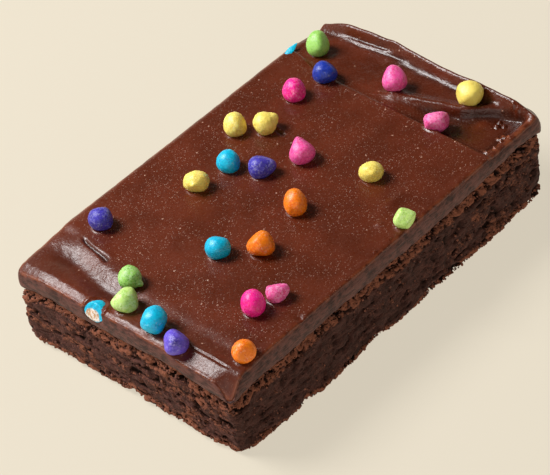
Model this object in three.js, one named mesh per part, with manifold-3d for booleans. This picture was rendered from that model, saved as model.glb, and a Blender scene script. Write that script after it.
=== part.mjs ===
// A chocolate brownie with a thick fudge icing and candy-coated chips pressed into it.
// Millimetres, +Z up, +X along the long side. The origin is the middle of the underside.
// The slab is cut by knife, so its sides show the open crumb of the cake and the cut edge of the icing.
import * as THREE from "three";
import { mergeVertices } from "three/addons/utils/BufferGeometryUtils.js";
import Module from "manifold-3d";

const wasm = await Module();
wasm.setup();

// Driving dimensions
const LENGTH = 84.8; // long side
const WIDTH = 52.6; // short side
const SEAM_HEIGHT = 13.9; // where the icing lies on the cake
const TOP_HEIGHT = 18.4; // level of the icing's flat middle
const OVERHANG = 0.2; // how far the icing stands proud of the cake
const CHIP_SINK = 0.7; // how deep a chip is pressed into the icing
const GAP = 0.3; // clearance between neighbouring pieces
const END_BULGE = 0.5; // how much further the right end reaches towards the back than at the front

const HALF_X = LENGTH / 2;
const HALF_Y = WIDTH / 2;

// Helpers for shapes given by formula

const bell = (distance, width) => Math.exp(-((distance / width) ** 2));
const ramp = (value, from, to) => THREE.MathUtils.smoothstep(value, from, to);
const toCorner = (x, y, sideX, sideY) => Math.hypot(x - sideX * HALF_X, y - sideY * HALF_Y);

// Quarter-ellipse fall towards an edge: zero from `width` inwards, `drop` at the edge itself.
function roll(inside, width, drop) {
  const q = THREE.MathUtils.clamp(1 - inside / width, 0, 1);
  return drop * (1 - Math.sqrt(1 - q * q));
}

// Smooth noise from -1 to 1 on a lattice of unit cells, the same at every run.
function noise(x, y, z) {
  const cell = [Math.floor(x), Math.floor(y), Math.floor(z)];
  const part = [x - cell[0], y - cell[1], z - cell[2]].map((t) => t * t * (3 - 2 * t));
  let sum = 0;
  for (let corner = 0; corner < 8; corner++) {
    const step = [corner & 1, (corner >> 1) & 1, corner >> 2];
    const wave = Math.sin((cell[0] + step[0]) * 127.1 + (cell[1] + step[1]) * 311.7 + (cell[2] + step[2]) * 74.7);
    const value = wave * 43758.5453 - Math.floor(wave * 43758.5453);
    const weight = step.reduce((w, s, axis) => w * (s ? part[axis] : 1 - part[axis]), 1);
    sum += weight * value;
  }
  return 2 * sum - 1;
}

// A point of the plan, a rectangle with round corners. u and v run from -1 to 1 across the rectangle,
// and inside each corner's square the grid is bent so that squares become quarter circles. The corners of the right
// end are rounder, most of all the one at the back, and that end bulges.
function planPoint(u, v, inset, radius) {
  const halfX = HALF_X - inset;
  const halfY = HALF_Y - inset;
  const rounder = u > 0 && v > 0 ? 3.3 : u > 0 && v < 0 ? 1.2 : 0;
  const round = Math.max(radius + rounder - inset, 0.4);
  const a = Math.max(0, (Math.abs(u) * halfX - (halfX - round)) / round);
  const b = Math.max(0, (Math.abs(v) * halfY - (halfY - round)) / round);
  const inCorner = a > 0 && b > 0;
  const scale = inCorner ? (round * Math.max(a, b)) / Math.hypot(a, b) : 1;
  const x = inCorner ? Math.sign(u) * (halfX - round + a * scale) : u * halfX;
  const y = inCorner ? Math.sign(v) * (halfY - round + b * scale) : v * halfY;
  return [x + END_BULGE * ramp(x, 34, HALF_X) * ramp(y, -26, -8), y];
}

// Collects points and faces into a closed surface.
class Skin {
  points = [];
  faces = [];

  add(x, y, z) {
    return this.points.push(x, y, z) / 3 - 1;
  }

  quad(a, b, c, d) {
    this.faces.push(a, b, c, a, c, d);
  }

  // Joins two rings of equal count. The rings run anticlockwise seen from above, and `lower` is under or inside `upper`.
  band(upper, lower) {
    upper.forEach((point, i) => {
      const next = (i + 1) % upper.length;
      this.quad(point, lower[i], lower[next], upper[next]);
    });
  }

  // Closes a ring with a fan from its centre.
  fan(ring, z, facesUp) {
    const centre = this.add(0, 0, z);
    ring.forEach((point, i) => {
      const next = ring[(i + 1) % ring.length];
      this.faces.push(centre, ...(facesUp ? [point, next] : [next, point]));
    });
  }

  geometry() {
    const made = new THREE.BufferGeometry();
    made.setAttribute("position", new THREE.Float32BufferAttribute(this.points, 3));
    made.setIndex(this.faces);
    return made;
  }
}

// The seam between cake and icing wanders along the sides. It lies higher along the front, most of all towards the
// right, and along the front half of the left end, and dips at the left end's corners.
function seamHeight(x, y) {
  const wander = 0.35 * noise(x / 6 + 3.2, y / 6, 7.5);
  const leftEnd = 0.8 * bell(y + 9, 9) * ramp(-x, 36, 41);
  const front = (0.4 + 0.9 * ramp(x, 15, 32)) * ramp(-y, 10, 25) * ramp(x, -42, -33);
  const dips =
    1.2 * bell(toCorner(x, y, -1, 1), 4) + 0.3 * bell(toCorner(x, y, -1, -1), 3) + 1.2 * bell(toCorner(x, y, 1, -1), 2.2);
  return SEAM_HEIGHT + wander + leftEnd + front - dips;
}

// The icing's upper surface

// Trough and bead that the spreading blade left along the left end, deepest in its back half. At the back edge the
// trough is no more than a wide step.
function leftEndWave(x, y) {
  const towardsBack = ramp(y, -2, 8);
  const atBackEdge = ramp(y, 18, 26);
  const troughX = -35.4 - 1.9 * (1 - ramp(y, 6, 20));
  const depth = (1.4 - 1.1 * atBackEdge) * towardsBack;
  const trough = depth * bell(x - troughX, x > troughX ? 2.2 + 0.6 * ramp(y, 8, 20) : 2.6);
  const shallow = 0.35 * (1 - towardsBack) * bell(x + 36.5, 1.8);
  const step = 0.3 * (1 - ramp(x, -40, -33)) + 0.4 * atBackEdge * (1 - ramp(x, -31.5, -29));
  return -trough - shallow - step * towardsBack;
}

// Slanted border of the left end: a nearly straight slope that is widest at the front.
function leftEndBevel(x, y) {
  const width = 1.2 + 0.8 * ramp(y, 3, 8) + 1.9 * ramp(-y, 10, 14);
  const inside = Math.max(0, width - (HALF_X + x));
  return -(0.5 * inside ** 2) / (inside + 0.4);
}

// Scored line across the right end. Past it the icing is lower, and towards the front it falls into a hollow
// that reaches as far as the edge of a curled flap, and ends behind a rim along the front edge.
function rightEndFlap(x, y) {
  const scoreX = 27.8 + 0.02 * y + 2 * ramp(y, 15, 25);
  const pastScore = ramp(x - scoreX, 0, 1.2);
  const flapX = 29.3 + 0.3 * (2 - y) + 2.5 * ramp(-y, 13, 20);
  const behindRim = 1 - ramp(-y, 23.6, 25.4);
  const hollow = 1.3 * ramp(-y, 0, 13) * behindRim * pastScore * (1 - ramp(x - flapX, -1, 2.4));
  const curl = 0.5 * bell(x - flapX - 2.4, 1.6) * ramp(y, -23, -16) * (1 - ramp(y, -1, 5));
  return curl - hollow - 0.25 * pastScore;
}

// Ridge pushed up along the right end, with a shallow dish on its inner side towards the back.
function rightEndRidge(x, y) {
  const crestX = 40.6 + 1.1 * bell(y - 10, 8);
  const height = 2.15 + 0.35 * bell(y + 12.5, 3) - 0.15 * bell(y + 5, 2) - 0.5 * ramp(y, 20, 26);
  const towardsBack = 0.6 + 0.4 * ramp(y, -24.5, -21);
  return height * towardsBack * bell(x - crestX, 1.1) - 0.35 * ramp(y, -4, 1) * bell(x - 36.5, 2.5);
}

// How far the icing sinks towards its sides and corners.
function edgeFall(x, y) {
  const sides =
    roll(HALF_X + x, 0.8, 0.4) + roll(HALF_X - x, 1.2, 0.7) + roll(HALF_Y + y, 0.9, 0.4) + roll(HALF_Y - y, 1.4, 0.6);
  const corners =
    2.9 * bell(toCorner(x, y, -1, -1), 2.4) +
    0.6 * bell(toCorner(x, y, -1, 1), 4) +
    1.6 * bell(toCorner(x, y, 1, -1), 1.7) +
    2.1 * bell(toCorner(x, y, 1, 1), 4);
  return -sides - corners;
}

function icingHeight(x, y) {
  const sway = 0.15 * noise(x / 9, y / 9, 3.5);
  const leftEnd = leftEndWave(x, y) + leftEndBevel(x, y);
  return TOP_HEIGHT + sway + leftEnd + rightEndFlap(x, y) + rightEndRidge(x, y) + edgeFall(x, y);
}

// Grid lines from -1 to 1, closer together where the surface bends most.
function gridLines(stretches, half) {
  const lines = stretches.flatMap(([from, to, cells]) =>
    Array.from({ length: cells }, (_, i) => (from + ((to - from) * i) / cells) / half),
  );
  return [...lines, 1];
}

// The icing: a top grid, a wall that goes down to the seam, and a flat underside with a wandering border.
function icingSolid() {
  const cornerRadius = 0.8;
  const rim = 0.4;
  const across = gridLines([[-HALF_X, -30, 9], [-30, 27, 18], [27, HALF_X, 15]], HALF_X);
  const along = gridLines([[-HALF_Y, HALF_Y, 28]], HALF_Y);
  const skin = new Skin();
  const top = across.map((u) =>
    along.map((v) => {
      const [x, y] = planPoint(u, v, rim - OVERHANG, cornerRadius);
      return skin.add(x, y, icingHeight(x, y));
    }),
  );
  for (let i = 0; i + 1 < across.length; i++)
    for (let j = 0; j + 1 < along.length; j++) skin.quad(top[i][j], top[i + 1][j], top[i + 1][j + 1], top[i][j + 1]);

  // The border of the grid, anticlockwise from the front left corner.
  const lastI = across.length - 1;
  const lastJ = along.length - 1;
  const border = [
    ...across.slice(0, -1).map((_, i) => [i, 0]),
    ...along.slice(0, -1).map((_, j) => [lastI, j]),
    ...across.slice(0, -1).map((_, i) => [lastI - i, lastJ]),
    ...along.slice(0, -1).map((_, j) => [0, lastJ - j]),
  ];
  // Each wall row: share of the way down to the seam, and inset from the icing's outline.
  const wall = [
    [0.1, 0.1],
    [0.35, -0.05],
    [0.72, -0.1],
    [1, 0.1],
  ];
  let ring = border.map(([i, j]) => top[i][j]);
  const rimHeights = ring.map((point) => skin.points[3 * point + 2]);
  for (const [share, inset] of wall) {
    const lower = border.map(([i, j], k) => {
      const [x, y] = planPoint(across[i], along[j], inset - OVERHANG, cornerRadius);
      return skin.add(x, y, THREE.MathUtils.lerp(rimHeights[k], seamHeight(x, y), share));
    });
    skin.band(ring, lower);
    ring = lower;
  }
  // The underside follows the seam for a little way inwards before it levels out.
  const ledge = border.map(([i, j]) => {
    const [x, y] = planPoint(across[i], along[j], 1, cornerRadius + 1);
    return skin.add(x, y, seamHeight(x, y));
  });
  const inner = border.map(([i, j]) => skin.add(...planPoint(across[i], along[j], 3, cornerRadius + 3), SEAM_HEIGHT));
  skin.band(ring, ledge);
  skin.band(ledge, inner);
  skin.fan(inner, SEAM_HEIGHT, false);
  return skin.geometry();
}

// The cake

// Chunks that broke off the bottom edge: the side's direction, place along it, width and height.
const BOTTOM_NOTCHES = [
  [0, -1, -25.5, 1.2, 0.8],
  [0, -1, -7.6, 2.8, 1],
  [0, -1, 8, 1.5, 0.4],
  [0, -1, 32.4, 1.3, 0.5],
  [-1, 0, -0.6, 2.3, 1.3],
  [-1, 0, -12.5, 1.4, 0.4],
  [0, 1, -19, 2, 1],
  [0, 1, 16, 1.6, 0.8],
  [1, 0, 9, 2, 1.1],
  [1, 0, -11, 1.5, 0.7],
];

function bottomLift(x, y, z) {
  const lifts = BOTTOM_NOTCHES.map(([sideX, sideY, place, width, height]) => {
    const onSide = ramp(sideX ? (sideX * x) / HALF_X : (sideY * y) / HALF_Y, 0.85, 0.93);
    return onSide * height * bell((sideX ? y : x) - place, width);
  });
  return Math.max(...lifts) * (1 - ramp(z, 1, 5));
}

// How far the broken crumb stands out from the cut face. It is roughest in the bands under the icing and at the base.
// The two long sides lean outwards at the base, except at their front corners, and the cake stands out at the back
// corner of the left end.
function crumbRelief(x, y, z) {
  const frontCorners = 0.8 * bell(toCorner(x, y, -1, -1), 6) + 0.8 * bell(toCorner(x, y, 1, -1), 7);
  const lean = 0.5 * ramp(Math.abs(y), 24.5, 26) - frontCorners;
  const bands = bell(z - 12.3, 1.5) + bell(z - 1.3, 1.8);
  const lumps = 0.25 * noise(x / 2.6, y / 2.6, z / 2.1) + 0.25 * (0.4 + bands) * noise(x / 1.6 + 9, y / 1.6, z / 1.3);
  const recess = 0.45 * bell(z - 12.9, 0.9);
  const corner = 0.5 * bell(toCorner(x, y, -1, 1), 5) * (1 - ramp(z, 11, 13));
  return lumps - recess + corner + lean * (1 - z / SEAM_HEIGHT);
}

function cakeSolid() {
  const spacing = 1.7;
  // Each row of the side: height, and inset of the rounded bottom edge.
  const rows = [
    [SEAM_HEIGHT, 0.6],
    [12.9, 0],
    [11.6, 0],
    [10, 0],
    [8.2, 0],
    [6.3, 0],
    [4.4, 0],
    [2.7, 0],
    [1.5, 0],
    [0.5, 0.25],
    [0, 1],
  ];
  const stepsX = Math.round(LENGTH / spacing);
  const stepsY = Math.round(WIDTH / spacing);
  const lineX = Array.from({ length: stepsX }, (_, i) => -1 + (2 * i) / stepsX);
  const lineY = Array.from({ length: stepsY }, (_, i) => -1 + (2 * i) / stepsY);
  const border = [
    ...lineX.map((u) => [u, -1]),
    ...lineY.map((v) => [1, v]),
    ...lineX.map((u) => [-u, 1]),
    ...lineY.map((v) => [-1, -v]),
  ];
  const skin = new Skin();
  const rings = rows.map(([height, inset]) => {
    const cornerRadius = 1.3 + 1.2 * (1 - height / SEAM_HEIGHT);
    return border.map(([u, v]) => {
      const [x0, y0] = planPoint(u, v, inset, cornerRadius);
      const [x, y] = planPoint(u, v, inset - crumbRelief(x0, y0, height), cornerRadius);
      const z = (height * (seamHeight(x, y) - GAP)) / SEAM_HEIGHT;
      return skin.add(x, y, z + bottomLift(x, y, height));
    });
  });
  rings.slice(1).forEach((ring, i) => skin.band(rings[i], ring));

  const topInner = border.map(([u, v]) => skin.add(...planPoint(u, v, 3, 5), SEAM_HEIGHT - GAP));
  skin.band(topInner, rings[0]);
  skin.fan(topInner, SEAM_HEIGHT - GAP, true);
  const bottomInner = border.map(([u, v]) => skin.add(...planPoint(u, v, 5, 7), 0));
  skin.band(rings.at(-1), bottomInner);
  skin.fan(bottomInner, 0, false);
  return skin.geometry();
}

// The candy-coated chips

const CANDY_COLOURS = {
  cyan: 0x1fa9cc,
  green: 0x8fd05c,
  lime: 0xb7de78,
  yellow: 0xf0dc6a,
  orange: 0xf98a2b,
  pink: 0xe85cab,
  magenta: 0xe02a8d,
  blue: 0x3155c4,
  indigo: 0x3d36a0,
  violet: 0x6a4fc0,
};

// Colour, place over the plan, diameter, height of the drop's peak as a share of its radius, the direction the peak
// points in (turn about +Z from +X, and rise above level, in degrees), and how much higher than most the chip lies.
const CHIPS = [
  ["green", 33.1, 20.6, 4.8, 0.35, 0, 85],
  ["blue", 27.4, 13.8, 4.8, 0.15, -41, 10],
  ["magenta", 20.3, 15.1, 4.8, 0.05, 100, 60],
  ["pink", 32.8, 1, 4.6, 0.5, 0, 85],
  ["yellow", 37.8, -13, 5.2, 0.12, -170, 50],
  ["pink", 28.8, -12.1, 4.9, 0.2, -41, 0, 0.7],
  ["yellow", 6.6, 17.5, 4.8, 0.22, 130, 65],
  ["yellow", 10.1, 13.4, 4.8, 0.3, -35, 15],
  ["cyan", -1.6, 11.5, 4.6, 0.15, 80, 65],
  ["indigo", 0.5, 5.8, 4.6, 0.42, -45, -5],
  ["pink", 7.8, 1.8, 5.2, 0.28, 110, 70],
  ["yellow", 11, -11.9, 4.4, 0.15, -41, 10],
  ["yellow", -8.8, 12.8, 4.7, 0.2, -140, 5],
  ["orange", -3.4, -6.6, 4.8, 0.32, 60, 75],
  ["lime", 4.7, -24.9, 4.1, 0.3, 40, 30],
  ["indigo", -26.2, 20, 4.8, 0.06, 140, 40],
  ["cyan", -19.8, -2.8, 4.7, 0.1, -60, 20],
  ["orange", -15, -8.8, 5.2, 0.2, -41, 0],
  ["green", -34.1, 4.8, 4.7, 0.25, -75, -5],
  ["lime", -38.9, 1.6, 4.9, 0.3, 10, 40],
  ["cyan", -39.8, -6.6, 5.1, 0.15, 20, 35],
  ["violet", -40.9, -12.9, 4.9, 0.25, -131, 40],
  ["magenta", -26.7, -17.9, 4.8, 0.25, 60, 80],
  ["pink", -22.1, -18.9, 4.2, 0.15, -41, 0],
  ["orange", -35.8, -24.1, 4.5, 0.15, 48, 0],
];

// A drop: a round body with a soft peak on +Y, a flatter base and a few lumps.
function chipGeometry(diameter, peak, seed) {
  const geometry = new THREE.SphereGeometry(1, 10, 6);
  const position = geometry.getAttribute("position");
  const point = new THREE.Vector3();
  for (let i = 0; i < position.count; i++) {
    point.fromBufferAttribute(position, i).normalize();
    const fromPeak = Math.acos(THREE.MathUtils.clamp(point.y, -1, 1));
    const lumps = 0.06 * noise(point.x * 1.7 + seed, point.y * 1.7, point.z * 1.7);
    const radius = 0.97 + peak * bell(fromPeak, 0.6) - 0.12 * bell(Math.PI - fromPeak, 0.7) + lumps;
    point.multiplyScalar((diameter / 2) * radius);
    position.setXYZ(i, point.x, point.y, point.z);
  }
  return geometry;
}

function chipMesh(colour, x, y, geometry, direction) {
  const material = new THREE.MeshStandardMaterial({ color: CANDY_COLOURS[colour], roughness: 0.4, metalness: 0 });
  const mesh = new THREE.Mesh(geometry, material);
  mesh.quaternion.setFromUnitVectors(new THREE.Vector3(0, 1, 0), direction);
  const lowest = new THREE.Box3().setFromObject(mesh, true).min.z;
  mesh.position.set(x, y, icingHeight(x, y) - lowest - CHIP_SINK);
  mesh.updateMatrixWorld(true);
  return mesh;
}

function wholeChips() {
  const counts = {};
  return CHIPS.map(([colour, x, y, diameter, peak, turn, rise, lift = 0], index) => {
    const direction = new THREE.Vector3().setFromSphericalCoords(
      1,
      THREE.MathUtils.degToRad(90 - rise),
      THREE.MathUtils.degToRad(turn),
    );
    // three.js measures spherical coordinates about +Y from +Z, so the axes are turned into this frame.
    direction.set(direction.z, direction.x, direction.y);
    const mesh = chipMesh(colour, x, y, chipGeometry(diameter, peak, 11 * index), direction);
    mesh.position.z += lift;
    counts[colour] = (counts[colour] ?? 0) + 1;
    mesh.name = `candy_${colour}_${counts[colour]}`;
    return mesh;
  });
}

// A flattened chip that the knife cut on a slant at the left end, so that its inside faces outwards and up. It lies deep
// in the icing, and ends level with the icing's side.
function cutChip() {
  const shape = chipGeometry(4.8, 0.1, 7).scale(1, 0.75, 1);
  const whole = chipMesh("cyan", -41.6, 6.4, shape, new THREE.Vector3(0, 0, 1));
  whole.position.z = icingHeight(-41.6, 6.4) - 0.9;
  const slant = new THREE.Vector3(0.9, 0.1, -0.43).normalize();
  const half = solidOf(whole)
    .trimByPlane(slant.toArray(), slant.dot(whole.position) - 0.6)
    .trimByPlane([1, 0, 0], -(HALF_X + OVERHANG + 0.15));
  const mesh = new THREE.Mesh(geometryOf(half), whole.material);
  mesh.name = "candy_cyan_cut";
  return mesh;
}

// A flake of candy shell stuck to the back edge.
function flakeChip() {
  const geometry = new THREE.SphereGeometry(1, 10, 6).scale(1.95, 0.65, 0.35);
  const material = new THREE.MeshStandardMaterial({ color: CANDY_COLOURS.cyan, roughness: 0.4, metalness: 0 });
  const mesh = new THREE.Mesh(geometry, material);
  mesh.rotation.set(THREE.MathUtils.degToRad(15), THREE.MathUtils.degToRad(-22), 0);
  mesh.position.set(30.2, HALF_Y - 1.2, icingHeight(30.2, HALF_Y - 1.2) + 0.15);
  mesh.name = "candy_cyan_flake";
  return mesh;
}

// Cutting and joining

function solidOf(mesh) {
  mesh.updateMatrixWorld(true);
  const bare = mesh.geometry.clone().deleteAttribute("normal").deleteAttribute("uv").applyMatrix4(mesh.matrixWorld);
  const merged = mergeVertices(bare, 1e-4);
  return new wasm.Manifold(
    new wasm.Mesh({
      numProp: 3,
      vertProperties: new Float32Array(merged.getAttribute("position").array),
      triVerts: new Uint32Array(merged.index.array),
    }),
  );
}

function geometryOf(solid) {
  const { vertProperties, triVerts } = solid.getMesh();
  const geometry = new THREE.BufferGeometry();
  geometry.setAttribute("position", new THREE.BufferAttribute(vertProperties, 3));
  geometry.setIndex(new THREE.BufferAttribute(triVerts, 1));
  return geometry;
}

// The same piece grown by the gap all round, about the middle of its box.
function grown(mesh) {
  const box = new THREE.Box3().setFromObject(mesh, true);
  const centre = box.getCenter(new THREE.Vector3());
  const size = box.getSize(new THREE.Vector3());
  const scale = size.clone().addScalar(2 * GAP).divide(size);
  const solid = solidOf(mesh);
  const shift = centre.clone().multiply(new THREE.Vector3(1, 1, 1).sub(scale));
  return solid.scale(scale.toArray()).translate(shift.toArray());
}

// The icing with a dimple pressed by each chip. Thin scraps that a dimple cuts off at the rim are left out.
function dimpledIcing(icing, chips) {
  let solid = solidOf(icing);
  for (const chip of chips) solid = solid.subtract(grown(chip));
  const bodies = solid.decompose().sort((a, b) => b.volume() - a.volume());
  return geometryOf(bodies[0]);
}

// The brownie

const cake = new THREE.Mesh(cakeSolid(), new THREE.MeshStandardMaterial({ color: 0x3b2822, roughness: 0.85, metalness: 0 }));
cake.name = "cake";

const chips = [...wholeChips(), cutChip(), flakeChip()];
const icing = new THREE.Mesh(icingSolid(), new THREE.MeshStandardMaterial({ color: 0x5a2e24, roughness: 0.35, metalness: 0 }));
icing.name = "icing";
icing.geometry = dimpledIcing(icing, chips);

const brownie = new THREE.Group();
brownie.add(cake, icing, ...chips);

export default brownie;
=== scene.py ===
"""A chocolate brownie: crumbly cake, glossy fudge icing and candy-coated chips, dressed over its solids."""

import math
from typing import NamedTuple

import bpy
import numpy as np
from bpy.props import FloatProperty, FloatVectorProperty, IntProperty, PointerProperty
from mathutils import Matrix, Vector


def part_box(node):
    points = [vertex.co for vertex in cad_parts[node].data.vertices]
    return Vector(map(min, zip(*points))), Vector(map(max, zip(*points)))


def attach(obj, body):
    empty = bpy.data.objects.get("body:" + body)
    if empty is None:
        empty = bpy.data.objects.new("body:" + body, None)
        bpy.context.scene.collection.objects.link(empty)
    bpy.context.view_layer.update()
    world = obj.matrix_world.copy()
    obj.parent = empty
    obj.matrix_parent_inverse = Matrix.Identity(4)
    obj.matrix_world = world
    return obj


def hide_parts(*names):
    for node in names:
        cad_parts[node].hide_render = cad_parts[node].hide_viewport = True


bl_info = {
    "name": "Chocolate Brownie",
    "version": (1, 0, 0),
    "blender": (4, 5, 0),
    "location": "3D View > Sidebar > Brownie",
    "description": "Builds an iced chocolate brownie with candy chips on its packed solids",
    "category": "Add Mesh",
}

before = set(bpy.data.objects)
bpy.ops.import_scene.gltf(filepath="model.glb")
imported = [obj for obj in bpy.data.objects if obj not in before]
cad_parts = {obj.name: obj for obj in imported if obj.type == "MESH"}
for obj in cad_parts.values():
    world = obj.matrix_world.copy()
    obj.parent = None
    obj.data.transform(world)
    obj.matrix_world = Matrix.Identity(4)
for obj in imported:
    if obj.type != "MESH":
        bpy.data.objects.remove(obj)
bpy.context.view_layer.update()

# The slab, in millimetres, the same as the solids'
HALF_X, HALF_Y = 42.4, 26.3
SEAM_HEIGHT = 13.9
TOP_HEIGHT = 18.4
OVERHANG = 0.2
END_BULGE = 0.5
MM = 0.001

# How much more the right end's corners are rounded than the left end's, at the back and at the front
BACK_TURN, FRONT_TURN = 3.3, 1.2

# The photograph's view, found from the slab's edges in perspective: the camera's turn, rise and tilt in
# degrees, and the directions across, up and out of the picture before the tilt
TURN, RISE, TILT = -41.35, 41.41, -9.6
ACROSS = np.array([math.cos(math.radians(TURN)), math.sin(math.radians(TURN)), 0])
OUTWARD = np.array([ACROSS[1], -ACROSS[0], math.tan(math.radians(RISE))]) * math.cos(math.radians(RISE))
UPWARD = np.cross(OUTWARD, ACROSS)
VIEW = np.array([ACROSS, UPWARD, OUTWARD])

# The camera's distance from the slab's middle and that middle's height in metres, the lens in millimetres,
# and its shift as shares of the picture's width
CAMERA_DISTANCE, AIM_HEIGHT = 0.47825, 0.009095
LENS = 171.6
SHIFT = (-0.02404, -0.02311)

# The cut chip: the direction square to its cut face, inwards, and, as shares of its radius, how far that face
# lies from its middle, how high the middle lies over its base, and how flat the chip is
CUT_SLANT = np.array([0.9, 0.1, -0.43]) / math.hypot(0.9, 0.1, 0.43)
CUT_OFFSET = 0.25
CUT_RISE = 0.66
CUT_FLATNESS = 0.75


def srgb(red, green, blue):
    """A colour given as screen values from 0 to 255, as the linear values that Blender works with."""
    shares = [value / 255 for value in (red, green, blue)]
    return [s / 12.92 if s <= 0.04045 else ((s + 0.055) / 1.055) ** 2.4 for s in shares]


class ChipForm(NamedTuple):
    """A chip's form. Directions are as seen in the photograph: to the right, up and towards the viewer."""

    peak: tuple  # where the peak points
    height: float  # of the peak, as a share of the radius
    spread: float  # half width of the peak in radians
    aspect: float  # the outline's width over its height
    lumpy: float
    pale: float  # how pale and mottled the shell is
    faces: tuple = ()  # flattened faces: a direction, and a distance from the middle as a share of the radius
    worn: float = 0  # how much of the shell is worn off at the peak


# Place and size come from the solid of the same name
CHIP_FORMS = {
    "candy_green_1": ChipForm(
        (0.2, 1, 0.1), 0.26, 0.7, 0.88, 0.3, 0.3,
        ((-0.5, 0.1, 0.86, 0.88), (0.75, 0.1, 0.65, 0.88)),
    ),
    "candy_blue_1": ChipForm(
        (-0.2, 1, 0.2), 0.08, 0.7, 1.1, 0.3, 0.25,
        ((0.8, 0.6, 0.2, 0.86), (0.1, -1, 0.2, 0.84)),
    ),
    "candy_magenta_1": ChipForm(
        (0, 1, 0.2), 0.05, 0.6, 0.95, 0.4, 0.6,
        ((-0.6, 0, 0.8, 0.92), (0.7, -0.1, 0.7, 0.92)),
    ),
    "candy_pink_1": ChipForm((0, 1, 0.05), 0.5, 0.62, 0.93, 0.6, 0.65),
    "candy_yellow_1": ChipForm(
        (0.3, 0.6, 0.5), 0.03, 0.6, 1.03, 0.2, 0.2,
        ((-1, -0.05, 0.25, 0.78), (-0.3, 0.4, 0.86, 0.86)),
    ),
    "candy_pink_2": ChipForm(
        (1, 0, 0), 0.12, 0.6, 1.25, 1.6, 0.8,
        ((0, 1, 0, 0.74), (0.9, -0.2, 0.4, 0.84), (-0.3, -0.8, 0.5, 0.74)),
    ),
    "candy_yellow_2": ChipForm((-0.05, 1, 0), 0.22, 0.8, 0.92, 0.2, 0.5, ((0.85, 0.1, 0.5, 0.84),)),
    "candy_yellow_3": ChipForm((0.93, 0.38, 0.1), 0.36, 0.42, 1.08, 1.1, 0.3),
    "candy_cyan_1": ChipForm((0.2, 1, 0.2), 0.14, 0.8, 0.98, 0.2, 0.3, ((0.9, -0.1, 0.3, 0.88),)),
    "candy_indigo_1": ChipForm((1, -0.05, 0.1), 0.4, 0.5, 1.2, 1.1, 0.6, ((0.3, 0.9, 0.3, 0.86),)),
    "candy_pink_3": ChipForm(
        (-0.05, 1, 0.1), 0.26, 0.5, 0.93, 0.8, 0.5,
        ((-0.85, 0.5, 0, 0.86), (0.7, 0.75, 0.2, 0.82), (0.5, -0.8, 0.2, 0.9)),
    ),
    "candy_yellow_4": ChipForm((0.1, -0.2, 1), 0.16, 0.26, 1.2, 0.7, 0.35),
    "candy_yellow_5": ChipForm((-0.2, -0.3, 0.93), 0.24, 0.24, 1.22, 0.8, 0.35, ((-0.3, -0.9, 0.3, 0.84),)),
    "candy_orange_1": ChipForm((0, 1, 0), 0.14, 0.9, 0.83, 0.4, 0.3),
    "candy_lime_1": ChipForm(
        (0.8, 0.5, 0.3), 0.25, 0.4, 1.07, 1.3, 0.5,
        (
            (-0.75, 0.65, 0.2, 0.66), (0.4, 0.85, 0.35, 0.74), (0.7, -0.65, 0.3, 0.72),
            (-0.3, -0.9, 0.3, 0.76), (0, 0, 1, 0.6),
        ),
    ),
    "candy_indigo_2": ChipForm(
        (0, 1, 0), 0.02, 0.6, 1.04, 0.5, 0.55,
        ((0, 1, 0, 0.88), (1, 0, 0.1, 0.9), (-0.6, -0.6, 0.5, 0.88)),
    ),
    "candy_cyan_2": ChipForm(
        (-0.6, 0, 0.4), 0.06, 0.8, 1.12, 0.4, 0.25,
        ((0.3, 0.95, 0.1, 0.84), (0.1, -1, 0.1, 0.9)),
    ),
    "candy_orange_2": ChipForm(
        (0.2, 1, 0.2), 0.05, 0.5, 1.08, 0.5, 0.35,
        ((-0.62, 0.77, 0.2, 0.8), (0.95, 0.2, 0.2, 0.84), (-0.25, -0.95, 0.2, 0.78)),
    ),
    "candy_green_2": ChipForm((0.75, -0.62, 0.35), 0.4, 0.26, 1.0, 0.4, 0.7),
    "candy_lime_2": ChipForm(
        (0.5, 0.86, 0), 0.08, 0.5, 1.03, 0.3, 0.75,
        ((-0.65, 0.76, 0.1, 0.76), (1, 0, 0.1, 0.8), (-0.4, -0.9, 0.1, 0.84), (0.6, -0.4, 0.7, 0.82)),
    ),
    "candy_cyan_3": ChipForm(
        (0.45, 0.9, 0), 0.12, 0.9, 0.95, 0.3, 0.25,
        ((-0.85, 0.5, 0.1, 0.86), (0.8, -0.6, 0.1, 0.88)),
    ),
    "candy_violet_1": ChipForm(
        (-0.15, 0.1, 1), 0.12, 0.24, 0.97, 0.3, 0.3,
        ((0.72, 0.7, 0.1, 0.72), (-1, 0.1, 0.1, 0.84), (0, -1, 0.2, 0.86)),
        worn=0.9,
    ),
    "candy_magenta_2": ChipForm((-0.1, 1, 0), 0.12, 0.9, 0.88, 0.3, 0.35, ((0.5, -0.2, 0.85, 0.93),)),
    "candy_pink_4": ChipForm(
        (1, 0.2, 0), 0.26, 0.6, 1.3, 1.2, 0.85,
        ((0, 1, 0.1, 0.62), (-0.95, 0.3, 0.2, 0.76)),
    ),
    "candy_orange_3": ChipForm((-0.4, 0.9, 0.1), 0.05, 0.6, 1.02, 0.5, 0.4, ((0.2, -0.25, 0.95, 0.7),)),
}

CANDY_COLOURS = {
    "blue": srgb(30, 58, 170),
    "cyan": srgb(0, 192, 230),
    "green": srgb(160, 216, 104),
    "indigo": srgb(72, 62, 182),
    "lime": srgb(204, 240, 134),
    "magenta": srgb(255, 34, 154),
    "orange": srgb(255, 134, 18),
    "pink": srgb(255, 92, 176),
    "violet": srgb(110, 88, 214),
    "yellow": srgb(255, 232, 116),
}
SPECK_COLOUR = srgb(206, 158, 134)
BURR_COLOUR = srgb(142, 74, 44)
CUT_BURR_COLOUR = srgb(138, 70, 42)
CORE_COLOURS = (srgb(232, 222, 214), srgb(196, 156, 120))

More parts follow.
